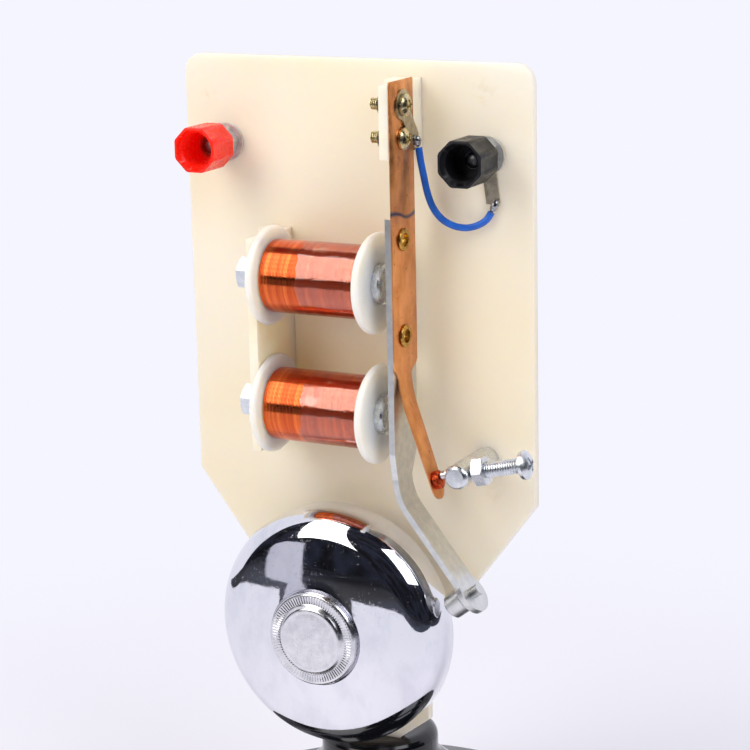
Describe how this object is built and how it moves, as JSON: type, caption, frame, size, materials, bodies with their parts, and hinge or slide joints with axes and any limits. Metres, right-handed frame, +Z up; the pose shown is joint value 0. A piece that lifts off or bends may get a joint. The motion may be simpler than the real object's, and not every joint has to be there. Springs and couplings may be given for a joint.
{
  "type": "electric bell",
  "caption": "Demonstration electric bell: two-coil electromagnet, sprung armature with striker, adjustable contact screw, gong and binding posts on an upright board with a round foot.",
  "frame": {"origin": "centre of the foot's flat underside, on the table", "axes": "+Z up along the upright board, +X to the right as seen from the front, -Y towards the gong's open view, so the board's front faces -Y"},
  "size_m": [0.118, 0.118, 0.221],
  "materials": {
    "black_abs": "glossy black moulded plastic",
    "cream_abs": "semi-gloss cream moulded plastic",
    "white_abs": "semi-gloss white moulded plastic",
    "white_nylon": "slightly translucent white nylon",
    "red_abs": "glossy red moulded plastic",
    "terminal_black": "glossy black moulded plastic",
    "blue_pvc": "blue wire insulation with a soft sheen",
    "clear_tape": "thin clear tape over the winding",
    "chrome": "mirror chrome with fine scratches",
    "zinc_steel": "bright zinc-plated steel",
    "yellow_zinc": "zinc plating with a yellow tint",
    "copper": "aged copper strip",
    "red_copper": "dull red copper",
    "enamelled_copper": "enamelled copper wire, glossy orange-brown",
    "brass": "plain brass",
    "tinned_brass": "tin-plated lug",
    "silver_contact": "silver contact point",
    "solder": "dull solder"
  },
  "bodies": {
    "frame": {"foot": "black_abs", "board": "cream_abs", "gong_post": "zinc_steel", "gong_post_nut": "zinc_steel", "gong": "chrome", "gong_cap": "chrome", "coil_bracket": "white_abs", "coil_bracket_screws": "zinc_steel", "upper_core": "zinc_steel", "lower_core": "zinc_steel", "core_washers": "zinc_steel", "core_nuts": "zinc_steel", "upper_bobbin": "white_nylon", "lower_bobbin": "white_nylon", "upper_winding": "enamelled_copper", "lower_winding": "enamelled_copper", "upper_tape": "clear_tape", "lower_tape": "clear_tape", "spring_bracket": "white_abs", "spring_bracket_screws": "zinc_steel", "clamp_screws": "yellow_zinc", "clamp_washers": "yellow_zinc", "clamp_nuts": "yellow_zinc", "spring_lug": "tinned_brass", "contact_post": "zinc_steel", "contact_post_nut": "zinc_steel", "terminal_studs": "zinc_steel", "terminal_washers": "zinc_steel", "terminal_nuts": "zinc_steel", "black_lug": "tinned_brass", "solder_joints": "solder", "blue_wire": "blue_pvc"},
    "striker": {"armature": "zinc_steel", "eyelets": "brass", "contact_rivet": "red_copper", "hammer": "zinc_steel", "contact_spring": "copper"},
    "screw_tip": {"contact_tip": "silver_contact"},
    "screw": {"contact_screw": "zinc_steel"},
    "lock": {"lock_nut": "zinc_steel"},
    "red_carrier": {"red_insert": "brass"},
    "red_turn": {"red_knob": "red_abs"},
    "black_carrier": {"black_insert": "brass"},
    "black_turn": {"black_knob": "terminal_black"}
  },
  "joints": [
    {"name": "armature_swing", "type": "hinge", "parent": "frame", "child": "striker", "pos_m": [0.0198, -0.0195, 0.192], "axis": [0, 1, 0], "range_deg": [0, 0.7], "stiffness_Nm_per_rad": 0.3, "springref_deg": -1.15, "deforming": ["contact_spring"]},
    {"name": "contact_screw_travel", "type": "slide", "parent": "frame", "child": "screw_tip", "axis": [0.9744, 0, 0.225], "range_m": [0, 0.0049]},
    {"name": "contact_screw_turn", "type": "hinge", "parent": "screw_tip", "child": "screw", "pos_m": [0.0366, -0.0212, 0.11919], "axis": [0.9744, 0, 0.225], "range_deg": [0, 2520]},
    {"name": "lock_nut_turn", "type": "hinge", "parent": "frame", "child": "lock", "pos_m": [0.0366, -0.0212, 0.11919], "axis": [0.9744, 0, 0.225], "range_deg": [0, 180]},
    {"name": "red_knob_travel", "type": "slide", "parent": "frame", "child": "red_carrier", "axis": [0, -1, 0], "range_m": [0, 0.0028]},
    {"name": "red_knob_turn", "type": "hinge", "parent": "red_carrier", "child": "red_turn", "pos_m": [-0.0377, -0.02, 0.198], "axis": [0, -1, 0], "range_deg": [0, 1440]},
    {"name": "black_knob_travel", "type": "slide", "parent": "frame", "child": "black_carrier", "axis": [0, -1, 0], "range_m": [0, 0.0028]},
    {"name": "black_knob_turn", "type": "hinge", "parent": "black_carrier", "child": "black_turn", "pos_m": [0.0377, -0.02, 0.198], "axis": [0, -1, 0], "range_deg": [0, 1440]}
  ],
  "couplings": [
    {"joint": "contact_screw_turn", "follows": "contact_screw_travel", "rad_per_m": 8975.9},
    {"joint": "red_knob_turn", "follows": "red_knob_travel", "rad_per_m": 8975.9},
    {"joint": "black_knob_turn", "follows": "black_knob_travel", "rad_per_m": 8975.9}
  ]
}
